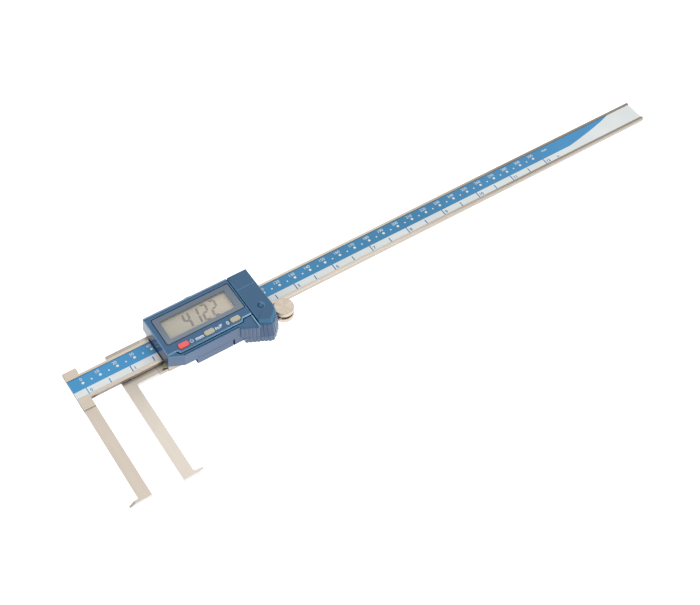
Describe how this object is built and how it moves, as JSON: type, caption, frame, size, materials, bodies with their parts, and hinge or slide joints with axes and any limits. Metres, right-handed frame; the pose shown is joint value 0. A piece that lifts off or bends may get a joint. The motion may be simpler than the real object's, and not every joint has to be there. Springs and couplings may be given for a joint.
{
  "type": "digital inside caliper",
  "caption": "Long-jaw digital inside caliper with a printed steel beam, blue display slider, push buttons, thumb roller, lock screw and sliding covers.",
  "frame": {"origin": "middle of the outline in plan, on the resting plane (back of the slider frame and moving jaw plate)", "axes": "+X along the beam from the head to the far end, +Y across the beam away from the jaws, +Z out of the scale face"},
  "size_m": [0.3932, 0.0944, 0.0161],
  "materials": {
    "beam_steel": "satin ground stainless, grain along the beam",
    "jaw_steel": "satin ground stainless, grain along the arm",
    "frame_steel": "satin machined stainless",
    "screw_steel": "plain",
    "spring_steel": "rolled",
    "brass": "plain",
    "contact_brass": "gold plated",
    "scale_print": "printed satin film",
    "board_green": "glass-fibre board",
    "blue_plastic": "fine-grained moulded",
    "black_rubber": "matte",
    "lcd_glass": "reflective display",
    "window_clear": "clear acrylic with printed border",
    "cell_can": "nickel plated",
    "contact_block": "matte",
    "roller_nickel": "nickel plated, turned face",
    "red_plastic": "satin moulded",
    "beige_plastic": "satin moulded"
  },
  "bodies": {
    "beam": {"main_beam": "beam_steel", "fixed_jaw": "jaw_steel", "fixed_jaw_screws": "screw_steel", "scale_grid": "board_green", "scale_label": "scale_print", "stop_screws": "screw_steel"},
    "slider": {"slider_frame": "frame_steel", "moving_jaw": "jaw_steel", "jaw_screws": "screw_steel", "gib_strip": "brass", "gib_screws": "screw_steel", "upper_housing": "blue_plastic", "lower_shell": "blue_plastic", "wiper_seals": "black_rubber", "circuit_board": "board_green", "board_screws": "screw_steel", "lcd_panel": "lcd_glass", "lcd_window": "window_clear", "lcd_connector": "black_rubber", "button_pad": "black_rubber", "coin_cell": "cell_can", "battery_contacts": "contact_brass", "housing_screws": "screw_steel", "roller_spring": "spring_steel", "port_contacts": "contact_block"},
    "thumb_roller": {"thumb_roller": "roller_nickel"},
    "lock_screw": {"lock_screw": "roller_nickel"},
    "power_button": {"power_button": "red_plastic"},
    "mode_button": {"mode_button": "beige_plastic"},
    "zero_button": {"zero_button": "beige_plastic"},
    "battery_cover": {"battery_cover": "blue_plastic"},
    "port_cover": {"port_cover": "blue_plastic"}
  },
  "joints": [
    {"name": "slider_slide", "type": "slide", "parent": "beam", "child": "slider", "axis": [1, 0, 0], "range_m": [-0.01715, 0.26]},
    {"name": "roller_spin", "type": "hinge", "parent": "slider", "child": "thumb_roller", "pos_m": [-0.07075, 0.01357, 0.0053], "axis": [0, 0, 1], "range_deg": [-180, 2710]},
    {"name": "lock_turn", "type": "hinge", "parent": "slider", "child": "lock_screw", "pos_m": [-0.11225, 0.04075, 0.0042], "axis": [0, 1, 0], "range_deg": [-90, 720]},
    {"name": "power_press", "type": "slide", "parent": "slider", "child": "power_button", "axis": [0, 0, -1], "range_m": [0, 0.0005], "stiffness_N_per_m": 800, "springref_m": -0.0003},
    {"name": "mode_press", "type": "slide", "parent": "slider", "child": "mode_button", "axis": [0, 0, -1], "range_m": [0, 0.0005], "stiffness_N_per_m": 800, "springref_m": -0.0003},
    {"name": "zero_press", "type": "slide", "parent": "slider", "child": "zero_button", "axis": [0, 0, -1], "range_m": [0, 0.0005], "stiffness_N_per_m": 800, "springref_m": -0.0003},
    {"name": "battery_cover_slide", "type": "slide", "parent": "slider", "child": "battery_cover", "axis": [1, 0, 0], "range_m": [0, 0.014]},
    {"name": "port_cover_slide", "type": "slide", "parent": "slider", "child": "port_cover", "axis": [-1, 0, 0], "range_m": [0, 0.016]}
  ],
  "couplings": [
    {"joint": "roller_spin", "follows": "slider_slide", "rad_per_m": 181.82}
  ]
}
